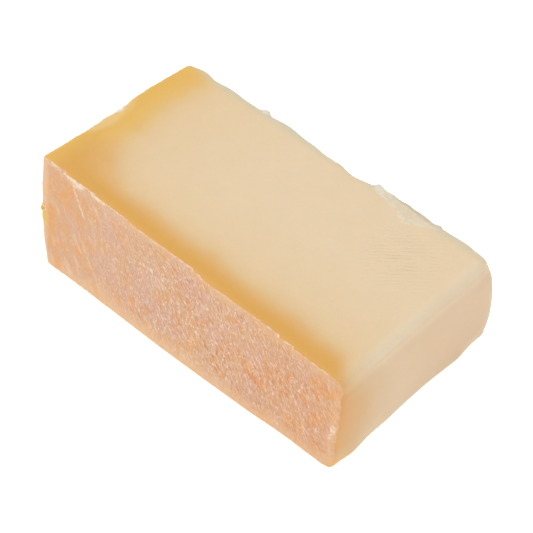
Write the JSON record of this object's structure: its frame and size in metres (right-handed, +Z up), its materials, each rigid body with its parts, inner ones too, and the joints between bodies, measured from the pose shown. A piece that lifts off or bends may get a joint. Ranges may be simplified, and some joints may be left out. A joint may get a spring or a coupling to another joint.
{
  "type": "gruyere cheese chunk",
  "caption": "Hand-cut oblong chunk of hard gruyere cheese: rough rind on its long front and heel end, smooth pale paste elsewhere, a torn lip on the top back edge, flat base.",
  "frame": {"origin": "middle of the base of the bounding box, on the surface that the chunk rests on", "axes": "+X along the length from the heel end to the cut end, +Y across the width from the rind to the back cut, +Z up"},
  "size_m": [0.114, 0.066, 0.0376],
  "materials": {
    "cheese": "cut cheese paste with a soft sheen, amber under the rind, and a matt peach-brown grainy rind"
  },
  "bodies": {
    "root": {"gruyere_chunk": "cheese"}
  },
  "joints": []
}
